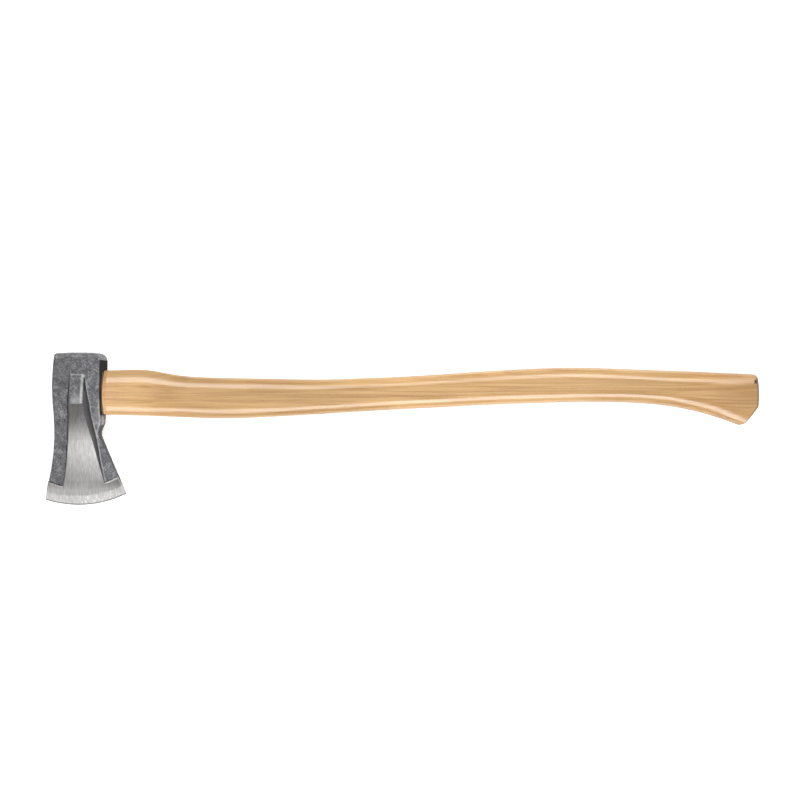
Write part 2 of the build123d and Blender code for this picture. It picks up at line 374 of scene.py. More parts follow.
def crest_height(y):
    return np.where(y > CREST[0], ramp_height(y), face_height(EDGE_CENTRE[0], y))


def wing_rise(y):
    """Height of the wing's walls above the cheek."""
    level = crest_height(wing_y(y))
    return level - np.minimum(cheek_spline(y), level)


def top_foot(y):
    """X where the wing's wall on the top side meets the cheek."""
    return face_top_spline(wing_y(y)) - wing_rise(y) * math.tan(math.radians(WING_DRAFT))


def haft_foot(y):
    return face_haft_spline(wing_y(y)) + wing_rise(y) * np.tan(np.radians(draft_spline(wing_y(y))))


def edge_distance(x, y):
    return np.hypot(x - EDGE_CENTRE[0], y - EDGE_CENTRE[1])


def bit_foot(x):
    """Radius of the step above the bit; beside the wing on the top side it lies a little lower."""
    return BIT_R + BIT_DIP * between(-62, -46, 8, x)


def head_height(x, y):
    """Half thickness of the head at (x, y), before its outer edges are rounded."""
    lean, haft_lean = math.tan(math.radians(WING_DRAFT)), np.tan(np.radians(draft_spline(wing_y(y))))
    level = crest_height(y)
    walls = soft_min(level + (x - face_top_spline(wing_y(y))) / lean,
                     level + (face_haft_spline(wing_y(y)) - x) / haft_lean, 0.8)
    walls = soft_min(walls, RAMP_FOOT[1] + (RAMP_FOOT[0] - y) / lean, 0.8)
    ground = face_height(x, y)
    wing = soft_min(soft_min(walls, ground, 1.0), ramp_height(y), 0.9)
    r = edge_distance(x, y)
    bit = soft_min(BIT_FACE + (r - bit_foot(x)) / lean, ground, 0.5)
    whole = soft_max(soft_max(cheek_spline(y), wing, 0.9), bit, 0.35)
    honed = EDGE_HALF + (HONED_HALF - EDGE_HALF) * (EDGE_R - r) / (EDGE_R - HONED_R)
    return soft_min(whole, honed, 0.12)


def outer_drop(x, y):
    """How far the rounded outer edges lower the surface."""
    bit = np.clip((BIT_START - y) / BIT_RUN_IN, 0, 1)
    top_r = TOP_EDGE_R + (BIT_EDGE_R - TOP_EDGE_R) * bit
    haft_r = HAFT_EDGE_R + (BIT_EDGE_R - HAFT_EDGE_R) * bit
    step = 0.05
    top_lean = (top_outline(y + step) - top_outline(y - step)) / (2 * step)
    haft_lean = (haft_outline(y + step) - haft_outline(y - step)) / (2 * step)
    from_top = (x - top_outline(y)) / np.hypot(1, np.clip(top_lean, -1, 1))
    from_haft = (haft_outline(y) - x) / np.hypot(1, np.clip(haft_lean, -1, 1))
    drop = np.maximum(rounded(from_top, top_r), rounded(from_haft, haft_r))
    return np.maximum(drop, rounded(POLL_Y - y, POLL_EDGE_R))


def head_rows():
    """Where the mesh's rows cross the head's middle line, and how strongly each row is curved."""
    ends = [y for y, _ in HEAD_BANDS[1:]] + [EDGE_CENTRE[1] - EDGE_R]
    middle = np.concatenate([y + (end - y) * eased(n, 0.4)[:-1] for (y, n), end in zip(HEAD_BANDS, ends)])
    middle = np.append(middle, ends[-1])
    t = np.clip((-60 - middle) / 57.5, 0, 1)
    bend = t * t * (3 - 2 * t) / np.maximum(EDGE_CENTRE[1] - middle, 1)
    return middle, bend


def head_grid():
    """X and Y of the mesh's points on one side: rows from the poll to the edge, columns across."""
    middle, bend = head_rows()

    def row_y(x):
        across = x - EDGE_CENTRE[0]
        return middle + bend * across ** 2 / (1 + np.sqrt(np.maximum(1 - (bend * across) ** 2, 0)))

    lines = [
        top_outline,
        lambda y: top_foot(y) - 0.2,
        lambda y: face_top_spline(wing_y(y)),
        lambda y: face_haft_spline(wing_y(y)),
        lambda y: haft_foot(y) + 0.2,
        haft_outline,
    ]
    places = []
    for line in lines:
        x = line(middle)
        for _ in range(12):
            x = line(row_y(x))
        places.append(x)
    columns = []
    for left, right, n in zip(places, places[1:], HEAD_COLUMNS):
        columns += [left + (right - left) * t for t in eased(n, 0.75)[:-1]]
    columns.append(places[-1])
    x = np.stack(columns, 1)
    return x, np.stack([row_y(column) for column in x.T], 1)


def head_mesh():
    """The forging as two mirrored sheets, joined all round by a wall."""
    x, y = head_grid()
    z = np.maximum(head_height(x, y) - outer_drop(x, y), EDGE_HALF)
    towards_poll = np.clip((y - POLL_CROWN_FROM) / (POLL_Y - POLL_CROWN_FROM), 0, 1)
    y = y - POLL_CROWN * ((x - POLL_MIDDLE) / POLL_MIDDLE) ** 2 * towards_poll
    rows, columns = x.shape
    index = np.arange(rows * columns).reshape(rows, columns)
    upper = np.stack([x, y, z], 2).reshape(-1, 3)
    lower = upper * (1, 1, -1)
    rim = np.concatenate([index[0, :-1], index[:-1, -1], index[-1, :0:-1], index[:0:-1, 0]])
    walls = [upper[rim] * (1, 1, 1 - 2 * k / WALL_ROWS) for k in range(1, WALL_ROWS)]
    quads = np.stack([index[:-1, :-1], index[1:, :-1], index[1:, 1:], index[:-1, 1:]], 2).reshape(-1, 4)
    count = rows * columns
    ring = np.arange(len(rim))
    loops = [rim] + [2 * count + k * len(rim) + ring for k in range(WALL_ROWS - 1)] + [rim + count]
    faces = quads.tolist() + (quads[:, ::-1] + count).tolist()
    for one, two in zip(loops, loops[1:]):
        faces += np.stack([one, np.roll(one, -1), np.roll(two, -1), two], 1).tolist()
    piece = mesh_piece("axe_head_forging", np.concatenate([upper, lower] + walls), faces)
    tidy_mesh(piece, 0.02)
    return piece


def ground_share(p):
    """1 where the grinder has cleaned the steel: the wings' faces, the bit and the honed edge."""
    x, y, z = p.T
    r = edge_distance(x, y)
    flush = 1 - step_up(0.25, 0.6, face_height(x, y) - np.abs(z))
    face = flush * (1 - step_up(CREST[0] - 0.9, CREST[0] + 0.3, y))
    return np.maximum(face, step_up(HONED_R - 3, HONED_R, r))


def rubbed_and_highlit_share(p):
    """1 on the raised edges that grinding and handling have rubbed bright, partly painted highlights where
    they catch the light, on both sides of the head; and painted highlights along the wall's foot, the
    underside's lip and the lug.
    """
    x, y, z = p.T
    left, right, r = face_top_spline(wing_y(y)), face_haft_spline(wing_y(y)), edge_distance(x, y)
    on_ramp = between(CREST[0] + 0.6, RAMP_FOOT[0], 0.5, y)
    ramp_side = line(x - right + 1.2, 2.3) * on_ramp * (0.8 + 0.2 * step_up(0, 12, -y))
    corner = np.exp(-((x - right + 0.2) / 1.6) ** 2 - ((y - RAMP_FOOT[0] + 2.6) / 1.8) ** 2)
    ramp_top = line(y - RAMP_FOOT[0] + 0.6, 1.3) * between(left + 1.5, right + 0.5, 0.8, x)
    # Painted highlight along the foot of the wall on the haft side
    foot_highlight = line(x - haft_foot(y) - 0.6, 0.9) * (1 - step_up(8, 20, y)) * (1 - step_up(BIT_R - 1, BIT_R, r))
    foot_highlight *= 0.42 + 0.36 * step_up(10, 60, -y)
    step = 0.8 * line(r - BIT_R - 0.1, 0.9) * step_up(0.2, 1.2, x - haft_foot(y)) * (y < -60)
    # Painted highlights on the underside's lip, on the lug and on the lug's wall
    lip = 0.55 * line(x - haft_outline(y) + 0.9, 1.2) * np.maximum(between(-58, -10, 4, y), y < -107.5)
    lug = 0.7 * line(y - UNDERSIDE_END[1] + 1, 3.0) * line(x + 2.6, 2.5)
    upper = step_up(-1.5, -0.8, np.abs(z) - head_height(x, y)) * step_up(1.8, 3.0, np.abs(z))
    lug_wall = 0.3 * between(-40, -30, 1.5, y) * (x > haft_outline(y) - 0.5)
    lug_wall *= 1 - step_up(3.5, 5, np.abs(z))
    raised = np.maximum.reduce([ramp_side, corner, 0.6 * ramp_top, foot_highlight, lip, lug, step])
    return np.maximum(raised * upper, lug_wall)


def crease_shadow_share(p):
    """1 in the painted shadow in the crease above the bit's step on the top side."""
    x, y, z = p.T
    along = step_up(-0.5, 0.5, top_foot(y) + 0.8 - x) * (y < -60) * step_up(1.8, 3.0, np.abs(z))
    return line(edge_distance(x, y) - bit_foot(x) + 0.7, 1.5) * along


def flank_share(p, n):
    """1 on the wings' walls on the haft side, which are smoother than the forged skin."""
    x, y, z = p.T
    on_wall = between(-22, 12, 1, x) * step_up(4, 6, np.abs(z)) * (y < RAMP_FOOT[0] + 2) * (x < haft_foot(y))
    return on_wall * step_up(0.30, 0.55, n[:, 0])


def scale_and_shade_share(p, n):
    """1 where the steel is painted near black: the black scale left on it, together with painted shade and
    dark reflection on the head's underside and heel and on the wings' walls, and the painted shadow in the
    bit's crease.
    """
    x, y, z = p.T
    # Painted shade and dark reflection on the underside and heel, less on the lug and none on the poll's
    # bevel
    side = (0.80 + 0.20 * step_up(-45, -38, y)) * step_up(0.60, 0.85, n[:, 0])
    side *= step_up(-2.2, -0.8, x - haft_outline(y))
    lug = between(-40.5, -29, 1.5, y)
    side *= (1 - step_up(40.6, 41.8, y)) * (1 - lug * (1 - 0.7 * line(np.abs(z) - 7, 2.4)))
    # Painted shade on the wings' walls that face the top side
    walled = between(-52, -3, 3, x) * step_up(4, 6, np.abs(z)) * (y < RAMP_FOOT[0] + 2)
    far = 0.85 * step_up(0.30, 0.6, -n[:, 0])
    # Painted shade on the walls on the haft side, darkest towards their foot and beside the ramp
    crest_x = face_haft_spline(wing_y(y))
    down_flank = step_up(0.2, 1.0, (x - crest_x) / np.maximum(haft_foot(y) - crest_x, 0.1))
    near = np.maximum(0.52 + 0.38 * down_flank, 0.95 * step_up(-6, 6, y)) * flank_share(p, n)
    return np.maximum.reduce([side, near, far * walled, 0.7 * crease_shadow_share(p)])


def build_head():
    """The forging with its eye, dented by the hammer except where it was ground."""
    piece = head_mesh()
    rings = eye_rings(np.linspace(4.0, EYE_TOP_X, 12))
    cutter = mesh_piece("eye_cutter", np.concatenate(rings), skin(rings))
    tidy_mesh(cutter, 0.001)
    subtract(piece, cutter)
    smooth_shade(piece, NO_CREASE)
    p, n = points_of(piece), normals_of(piece)
    ground = ground_share(p)
    rubbed_and_highlit = rubbed_and_highlit_share(p)
    dents = 0.16 * noise_at(p, 11.0, 1) + 0.11 * noise_at(p, 4.2, 2) + 0.09 * noise_at(p, 1.9, 3)
    honing = 0.02 * noise_at(p, (2.5, 40.0, 40.0), 4)
    thin = step_up(0.5, 3.0, np.abs(p[:, 2])) * step_up(0, 6, EDGE_R - edge_distance(p[:, 0], p[:, 1]))
    shift = (dents * (1 - ground) + honing * ground) * np.maximum(thin, np.abs(n[:, 0]) * (1 - ground))
    shift += 0.18 * rubbed_and_highlit * thin
    move_points(piece, p + n * shift[:, None])
    smooth_shade(piece, CREASE)
    n = normals_of(piece)
    paint(piece, "ground", ground)
    paint(piece, "rubbed_and_highlit", rubbed_and_highlit)
    paint(piece, "scale_and_shade", scale_and_shade_share(p, n))
    paint(piece, "flank", flank_share(p, n))
    return piece


# ---------------------------------------------------------------- haft

haft_splines = [spline([(station[0], station[k]) for station in HAFT]) for k in range(1, 5)]


def end_face(y):
    """X of the knob's end: the end face above the knee and the slanted cut below it."""
    upper = END_TOP[0] + END_SWELL * step_up(END_KNEE[1], END_TOP[1] - 10, y)
    lower = END_KNEE[0] + (y - END_KNEE[1]) * (END_KNEE[0] - END_TOE[0]) / (END_KNEE[1] - END_TOE[1])
    return soft_min(upper, lower, 1.6)


def haft_ring(x):
    """The section at X: it starts at a rounded shoulder, and near the head its belly is fuller."""
    back, belly, half_thick, end_r = (s(np.maximum(x, SHOULDER_FULL)) for s in haft_splines)
    y, z, across, up = oval(back, belly, half_thick, end_r)
    z -= EGG_LEAN * (1 - step_up(60, 130, x)) * (y - (back + belly) / 2) * up
    drop = rounded(x - SHOULDER, SHOULDER_R)
    return np.stack([x + 0 * y, y - drop * across, z - drop * up], 1), across, up


def end_rings():
    """Rings from END_RUN to the knob's end, its rounded rim, and the end face down to its middle."""
    rings = []
    for t in np.linspace(0, 1, 25)[1:]:
        x = np.full(2 * (SIDE_COLUMNS + END_COLUMNS), END_RUN)
        for _ in range(8):
            ring, across, up = haft_ring(x)
            round_over = 1 + 2.2 * np.abs(across) ** 3
            x = END_RUN + (end_face(ring[:, 1]) - END_RIM[0][1] * round_over - END_RUN) * t
        rings.append(ring)
    edge = rings[-1]
    for inset, depth in END_RIM[1:]:
        ring = edge.copy()
        ring[:, 1] -= inset * round_over * across
        ring[:, 2] -= inset * round_over * up
        ring[:, 0] = end_face(ring[:, 1]) - depth * round_over
        rings.append(ring)
    last = rings[-1]
    middle = last[:, 1:].mean(0)
    for s in np.linspace(1, 0, 28)[1:-1]:
        inner = middle + (last[:, 1:] - middle) * s
        rings.append(np.column_stack([end_face(inner[:, 0]), inner]))
    return rings


def tongue_rings():
    """The tongue's top from its middle outwards, then down through the eye to its mouth."""
    y, z, across, up = eye_section(TONGUE_TOP_X)
    top, y, z = np.full_like(y, TONGUE_TOP_X), y - TONGUE_EDGE * across, z - TONGUE_EDGE * up
    rings = [np.column_stack([top, y * s, z * s]) for s in np.linspace(0, 1, 26)[1:]]
    down = np.arange(TONGUE_TOP_X + TONGUE_EDGE, -1, TONGUE_STEP)
    return rings + eye_rings(np.append(down, [0.0, SHOULDER]))


def haft_mesh():
    """Rings all the way from the tongue's top, through the shoulder and the grip, to the knob's end."""
    rings = tongue_rings()
    rings += [haft_ring(SHOULDER + SHOULDER_R * t ** 2)[0] for t in np.linspace(0, 1, 7)]
    rings += [haft_ring(x)[0] for x in np.linspace(SHOULDER_FULL, END_RUN, int(END_RUN / GRIP_STEP))]
    rings += end_rings()
    piece = mesh_piece("haft_hickory", np.concatenate(rings), skin(rings))
    tidy_mesh(piece, 0.001)
    return piece


def wedge_cutter(depth, top_thick, foot_thick, width, y, along_y):
    """A wedge with its thick end at the tongue's top, a little long there so that it cuts clean."""
    over = 3.0
    grow = (top_thick - foot_thick) / depth * over
    points = []
    for x, thick in ((TONGUE_TOP_X - over, top_thick + grow), (TONGUE_TOP_X + depth, foot_thick)):
        for across, through in ((-1, -1), (1, -1), (1, 1), (-1, 1)):
            flat = (across * width / 2, through * thick / 2)
            points.append((x, y + (flat[0] if along_y else flat[1]), flat[1] if along_y else flat[0]))
    piece = mesh_piece("wedge_cutter", points, skin([points[:4], points[4:]]))
    tidy_mesh(piece, 0.001)
    return piece


def spot(p, x, y, half_length, half_width):
    """1 in the middle of a soft oval spot on the sides of the haft, falling to 0 around it."""
    return np.exp(-((p[:, 0] - x) / half_length) ** 2 - ((p[:, 1] - y) / half_width) ** 2)


def build_haft():
    """The haft with its wedge slots, sanded by hand, and with the marks that its material reads."""
    piece = haft_mesh()
    subtract(piece, wedge_cutter(KERF_DEPTH, KERF_TOP_THICK, KERF_FOOT_THICK, KERF_WIDTH, 0, True))
    for y in (STEEL_Y, -STEEL_Y):
        subtract(piece, wedge_cutter(STEEL_DEPTH, STEEL_TOP_THICK, STEEL_FOOT_THICK, STEEL_WIDTH, y, False))
    smooth_shade(piece, NO_CREASE)
    p, n = points_of(piece), normals_of(piece)
    outside = step_up(0, 6, p[:, 0])[:, None]
    sanding = 0.10 * noise_at(p, (120.0, 16.0, 16.0), 5) + 0.035 * noise_at(p, (30.0, 5.0, 5.0), 6)
    move_points(piece, p + n * sanding[:, None] * outside)
    smooth_shade(piece, CREASE)
    x, y, z = p.T
    paint(piece, "knot", step_up(0.25, 0.6, spot(p, *KNOT)) * step_up(6, 8, z))
    stain = sum(strength * spot(p, *place) for strength, place in STAINS)
    paint(piece, "stain", stain * step_up(2, 5, z))
    paint(piece, "lean", 1 - np.abs(n[:, 2]))
    # Painted shadow on the shoulder, just under the head
    paint(piece, "shoulder_shadow", (x > -0.5) & (x < SHOULDER + 0.01))
    # End grain on the knob and the tongue, and painted shade on the knob's rim near its end
    end_grain_and_rim_shade = step_up(0.35, 0.8, np.abs(n[:, 0])) * np.maximum(step_up(795, 800, x), x < -40)
    paint(piece, "end_grain_and_rim_shade", np.maximum(end_grain_and_rim_shade, step_up(-2.9, -2.0, x - end_face(y))))
    return piece


# ---------------------------------------------------------------- materials

def grey(level):
    return (level, level, level)


class Shader:
    """A material's nodes, each made by one short call that returns its output."""

    def __init__(self, name):
        self.material = bpy.data.materials.new(name)
        self.material.use_nodes = True
        self.tree = self.material.node_tree
        self.surface = self.tree.nodes["Principled BSDF"]

    def node(self, kind, inputs=(), out=0, **settings):
        made = self.tree.nodes.new("ShaderNode" + kind)
        for key, value in settings.items():
            setattr(made, key, value)
        for key, value in dict(inputs).items():
            self.give(made.inputs[key], value)
        return made.outputs[out]

    def give(self, socket, value):
        if isinstance(value, bpy.types.NodeSocket):
            self.tree.links.new(value, socket)
        else:
            socket.default_value = value

    def set(self, **inputs):
        for key, value in inputs.items():
            self.give(self.surface.inputs[key.replace("_", " ")], value)

    def place(self, stretch=(1, 1, 1)):
        """The object's own coordinates in millimetres about the mouth of the eye, divided by stretch."""
        at = self.node("TexCoord", out=3)
        scale = tuple(1 / (MM * s) for s in stretch)
        moved = self.node("VectorMath", {0: at, 1: tuple(MOUTH)}, operation="SUBTRACT")
        return self.node("VectorMath", {0: moved, 1: scale}, operation="MULTIPLY")

    def axes(self):
        """X, Y and Z of the place, in millimetres about the mouth of the eye."""
        place = self.place()
        return [self.node("SeparateXYZ", {0: place}, out=which) for which in range(3)]

    def stored(self, name):
        return self.node("Attribute", out=2, attribute_name=name)

    def noise(self, stretch, detail=2.0, rough=0.5, warp=0.0, seed=0.0):
        """Noise from 0 to 1 with lumps about stretch millimetres long on each axis."""
        inputs = {"Vector": self.place(stretch), "W": seed, "Scale": 1.0, "Detail": detail,
                  "Roughness": rough, "Distortion": warp}
        return self.node("TexNoise", inputs, noise_dimensions="4D")

    def math(self, operation, a, b=0.0):
        return self.node("Math", {0: a, 1: b}, operation=operation)

    def minus(self, a, b):
        return self.math("SUBTRACT", a, b)

    def plus(self, first, *others):
        for other in others:
            first = self.math("ADD", first, other)
        return first

    def times(self, first, *others):
        for other in others:
            first = self.math("MULTIPLY", first, other)
        return first

    def highest(self, first, *others):
        for other in others:
            first = self.math("MAXIMUM", first, other)
        return first

    def length(self, a, b):
        """The root of a squared plus b squared."""
        return self.math("SQRT", self.plus(self.math("POWER", a, 2.0), self.math("POWER", b, 2.0)))

    def span(self, value, low, high, to_low=0.0, to_high=1.0):
        """Maps low..high to to_low..to_high, held at both ends."""
        return self.node("MapRange", {0: value, 1: low, 2: high, 3: to_low, 4: to_high})

    def ramp(self, value, *stops):
        """A colour from (position, colour) stops."""
        made = self.tree.nodes.new("ShaderNodeValToRGB")
        self.give(made.inputs[0], value)
        points = made.color_ramp.elements
        while len(points) < len(stops):
            points.new(0.5)
        for point, (position, colour) in zip(points, stops):
            point.position, point.color = position, (*colour, 1)
        return made.outputs[0]

    def greys(self, value, *stops):
        """A grey colour from (position, level) stops."""
        return self.ramp(value, *[(position, grey(level)) for position, level in stops])

    def level(self, value, *stops):
        """A number from (position, level) stops."""
        return self.node("RGBToBW", {0: self.greys(value, *stops)})

    def mix(self, share, a, b, blend="MIX"):
        made = self.tree.nodes.new("ShaderNodeMix")
        made.data_type, made.blend_type = "RGBA", blend
        for socket, value in ((made.inputs[0], share), (made.inputs[6], a), (made.inputs[7], b)):
            self.give(socket, (*value, 1) if isinstance(value, tuple) else value)
        return made.outputs[2]

    def tint(self, colour, gain):
        """The colour with each channel multiplied by the gain's."""
        return self.mix(1.0, colour, gain, "MULTIPLY")

    def bump(self, height, depth, under=None):
        """Height from 0 to 1 raised by depth millimetres."""
        inputs = {"Strength": 1.0, "Distance": depth * MM, "Height": height}
        if under is not None:
            inputs["Normal"] = under
        return self.node("Bump", inputs)


def forged_skin(m, x, y, grain, fine, scale_and_shade):
    """Neutral grey scale, mottled, with small pale and dark specks."""
    blotch = m.noise((8, 8, 8), 3, 0.6, 0.4, 1.0)
    mottle = m.plus(m.times(blotch, 0.36), m.times(grain, 0.44), m.times(fine, 0.20))
    colour = m.ramp(mottle, (0.36, (0.074, 0.073, 0.079)), (0.47, (0.158, 0.156, 0.166)),
                    (0.55, (0.26, 0.26, 0.271)), (0.66, (0.60, 0.60, 0.61)))
    colour = m.mix(m.times(m.stored("flank"), 0.65), colour, (0.175, 0.172, 0.18))
    # Near black where the scale lies and where shade and dark reflection are painted
    colour = m.mix(scale_and_shade, colour, (0.038, 0.038, 0.039))

    # A little paler between the wing and the haft
    beside = m.times(m.span(x, -23, -18), m.span(y, 32, 20))
    colour = m.tint(colour, m.mix(beside, grey(1.0), (1.09, 1.10, 1.11)))

    # The wing's ramp is darker at its top, and painted pale, a painted highlight, where it meets the ground
    # face
    on_ramp = m.times(m.span(x, -38, -36), m.span(x, -19, -21))
    colour = m.mix(m.times(m.span(y, 3, 12), m.span(y, 24, 22), on_ramp, 0.14), colour, grey(0.0))
    on_ramp = m.times(m.span(x, -35, -31), m.span(x, -19, -21))
    foot_highlight = m.times(m.span(y, CREST[0] + 12.5, CREST[0] + 5), m.span(y, CREST[0] - 2, CREST[0] - 1))
    return m.mix(m.times(foot_highlight, on_ramp, 0.50), colour, grey(0.56))


# How the ground face's painted reflection runs from under the crest down to the edge
FACE_LENGTH = 140.0
FACE_REFLECTION_TONES = [(0.0, 0.21), (0.08, 0.225), (0.16, 0.295), (0.23, 0.445), (0.30, 0.63), (0.38, 0.85),
              (0.50, 0.89), (0.57, 0.76), (0.64, 0.63), (0.72, 0.54), (0.79, 0.51), (0.86, 0.76), (1.0, 0.78)]


def ground_face(m, x, y, streak):
    """Short brushed lines along the head with a painted reflection, dark under the crest and pale below it,
    and honed at the edge.
    """
    glow = m.noise((16, 22, 22), 2, 0.5, 0.3, 6.0)
    down = m.minus(m.times(m.minus(glow, 0.5), 9.0), y)
    base = m.greys(m.span(down, -CREST[0], FACE_LENGTH), *FACE_REFLECTION_TONES)
    radius = m.length(m.minus(x, EDGE_CENTRE[0]), m.minus(y, EDGE_CENTRE[1]))
    bit = m.span(radius, BIT_R - 9, BIT_R + 2)
    # The bit is painted darker towards the heel, a painted reflection
    base = m.mix(bit, base, m.tint(base, m.mix(m.span(x, -60, 15), grey(0.95), grey(0.55))))
    blots = m.noise((2.2, 4.5, 4.5), 2, 0.5, 0.0, 10.0)
    honed = m.span(m.plus(radius, m.times(m.minus(blots, 0.5), 9.0)), HONED_R - 8, HONED_R + 3)
    # The honed band is pale, painted lighter towards the top side and darker towards the heel, a painted
    # reflection
    base = m.mix(honed, base, m.mix(m.span(x, -78, -40), grey(1.0), grey(0.55)))

    # The brushed lines get more contrast where the painted reflection is palest, as painted glints
    calm = m.ramp(streak, (0.34, (0.74, 0.72, 0.703)), (0.66, (1.17, 1.138, 1.117)))
    bold = m.ramp(streak, (0.34, (0.60, 0.583, 0.57)), (0.66, (1.34, 1.30, 1.28)))
    colour = m.tint(base, m.mix(m.span(down, 39.3, 23.3), calm, bold))
    colour = m.mix(m.times(m.span(blots, 0.56, 0.68), honed, 0.55), colour, grey(0.92))
    # A dark line along the cutting edge
    dark_edge_line = m.times(m.span(radius, EDGE_R - 1.8, EDGE_R - 1.0), 0.9)
    return m.mix(dark_edge_line, colour, grey(0.12))


def head_steel():
    """Forged skin where the hammer left it, brushed steel where it was ground, honed bright at the edge."""
    m = Shader("forged_and_ground_steel")
    ground, rubbed_and_highlit, scale_and_shade = m.stored("ground"), m.stored("rubbed_and_highlit"), m.stored("scale_and_shade")
    x, y, _ = m.axes()
    grain = m.noise((2.1, 2.1, 2.1), 3, 0.65, 0.3, 2.0)
    fine = m.noise((0.8, 0.8, 0.8), 2, 0.6, 0.0, 3.0)
    lines = m.noise((0.45, 13, 13), 2, 0.6, 0.0, 4.0)
    broad = m.noise((1.9, 9, 9), 3, 0.6, 0.0, 5.0)
    streak = m.plus(m.times(lines, 0.4), m.times(broad, 0.6))

    colour = m.mix(ground, forged_skin(m, x, y, grain, fine, scale_and_shade), ground_face(m, x, y, streak))
    # Pale where edges are worn and where highlights are painted on them
    wear_and_highlight = m.times(rubbed_and_highlit, m.span(m.noise((5, 5, 5), 2, 0.5, 0.0, 11.0), 0.38, 0.60, 0.45, 0.90))
    # Where scale and painted shade lie, the steel is neither metallic nor shiny
    bare = m.minus(1.0, scale_and_shade)
    m.set(Base_Color=m.mix(wear_and_highlight, colour, grey(0.72)),
          Metallic=m.times(m.span(ground, 0, 1, 0.70, 1.0), bare),
          Specular_IOR_Level=m.times(bare, 0.5),
          Roughness=m.plus(m.span(ground, 0, 1, 0.55, 0.36), m.times(m.minus(grain, 0.5), 0.25)))
    pitted = m.times(m.plus(m.times(grain, 0.7), m.times(fine, 0.3)), m.minus(1.0, ground))
    m.set(Normal=m.bump(m.times(streak, ground), 0.03, m.bump(pitted, 0.40)))
    return m.material


PITH = (-70.0, -62.0)             # Y and Z of the growth rings' middle
RING_STEP = 4.2


def growth_rings(m, y, z):
    """1 in the dark line of each growth ring, falling to 0 between them."""
    sway = m.times(m.minus(m.noise((300, 22, 22), 2, 0.5, 0.0, 1.0), 0.5), 22.0)
    from_pith = m.length(m.minus(y, PITH[0]), m.minus(z, PITH[1]))
    ring = m.math("FRACT", m.math("DIVIDE", m.plus(from_pith, sway), RING_STEP))
    return m.level(ring, (0.0, 0.9), (0.14, 0.6), (0.45, 0.12), (0.88, 0.0), (1.0, 0.85))


def grain_tone(m, x, rings, bands, fibres):
    """0 in the palest wood and 1 in the darkest, calmer near the head."""
    streaks = m.noise((140, 2.3, 2.3), 3, 0.6, 0.0, 6.0)
    patches = m.noise((160, 26, 26), 2, 0.5, 0.0, 5.0)
    tone = m.plus(m.times(rings, 0.34), m.span(bands, 0.32, 0.68, -0.10, 0.32),
                  m.span(streaks, 0.32, 0.68, -0.18, 0.46), m.span(fibres, 0.3, 0.7, -0.08, 0.24),
                  m.span(patches, 0.35, 0.65, -0.20, 0.20),
                  m.times(m.stored("stain"), m.span(streaks, 0.3, 0.6, 0.5, 1.1)))
    return m.plus(m.times(m.minus(tone, 0.3), m.span(x, 50, 160, 0.72, 1.0)), 0.3)


def toned_with_painted_light(m, colour, along, y, lean):
    """The colour made lighter and darker along the haft, with painted light on the shoulder next to the head,
    painted light where its sides turn away towards the back and the belly, and painted shade at the outline.
    """
    # Lighter and darker along the haft; the first stops are painted light on the shoulder, where the head's
    # shade falls
    gain_along = m.greys(along, (0.0, 1.40), (0.004, 1.25), (0.010, 1.10), (0.07, 1.06), (0.12, 0.88),
                      (0.17, 0.83), (0.35, 0.83), (0.45, 0.94), (0.70, 0.92), (0.80, 0.83), (0.92, 0.80),
                      (0.98, 0.67))
    hue = m.ramp(along, (0.0, (0.95, 0.96, 1.02)), (0.045, (0.99, 0.99, 1.03)), (0.10, (0.96, 0.94, 0.91)),
                 (0.17, (0.98, 0.95, 0.91)), (0.36, (1.02, 1.02, 1.01)), (0.62, (1.01, 1.00, 0.99)),
                 (0.82, (1.03, 1.01, 0.96)), (0.95, (1.07, 1.00, 0.92)))
    colour = m.tint(m.tint(colour, gain_along), hue)
    # Painted light where the sides turn away from above, towards the back and the belly
    back = m.greys(along, (0.0, 0.93), (0.03, 0.88), (0.075, 0.853), (0.22, 1.16), (0.85, 1.16), (0.95, 1.30))
    rim = m.mix(m.span(y, -4, 4), grey(1.07), back)
    colour = m.mix(m.span(lean, 0.04, 0.14), colour, m.tint(colour, rim))
    # Painted shade where the sides turn furthest, at the outline
    return m.tint(colour, m.greys(lean, (0.36, 1.0), (0.55, 0.86), (0.75, 0.66)))


def marked(m, colour, dark, bands, pores):
    """The colour with dark lines, pores and small flecks drawn on it."""
    lines = m.span(m.noise((95, 1.5, 1.5), 1, 0.5, 0.0, 7.0), 0.64, 0.74)
    colour = m.mix(m.times(lines, 0.45), colour, tuple(0.6 * c for c in dark))
    colour = m.mix(m.times(pores, 0.50), colour, tuple(0.45 * c for c in dark))
    flecks = m.span(m.noise((3.2, 1.2, 1.2), 1, 0.5, 0.0, 8.0), 0.58, 0.70)
    return m.mix(m.times(flecks, m.span(bands, 0.46, 0.60), 0.32), colour, tuple(0.6 * c for c in dark))


def cut_across(m, colour, dark, rings):
    """The colour with the haft's end grain and painted shade on the knob's rim, its knot, and the painted
    shadow in its shoulder under the head.
    """
    dots = m.span(m.noise((4, 0.7, 0.7), 1, 0.5, 0.0, 9.0), 0.58, 0.68)
    end_tone = m.plus(m.times(rings, 0.75), m.times(dots, 0.45))
    end_colour = m.mix(end_tone, tuple(0.60 * c for c in dark), tuple(0.20 * c for c in dark))
    # End grain, and painted shade on the knob's rim
    colour = m.mix(m.times(m.stored("end_grain_and_rim_shade"), 0.80), colour, end_colour)
    colour = m.mix(m.times(m.stored("knot"), 0.95), colour, (0.035, 0.022, 0.012))
    # Painted shadow in the shoulder where it enters the head
    return m.mix(m.times(m.stored("shoulder_shadow"), 0.80), colour, (0.05, 0.035, 0.02))


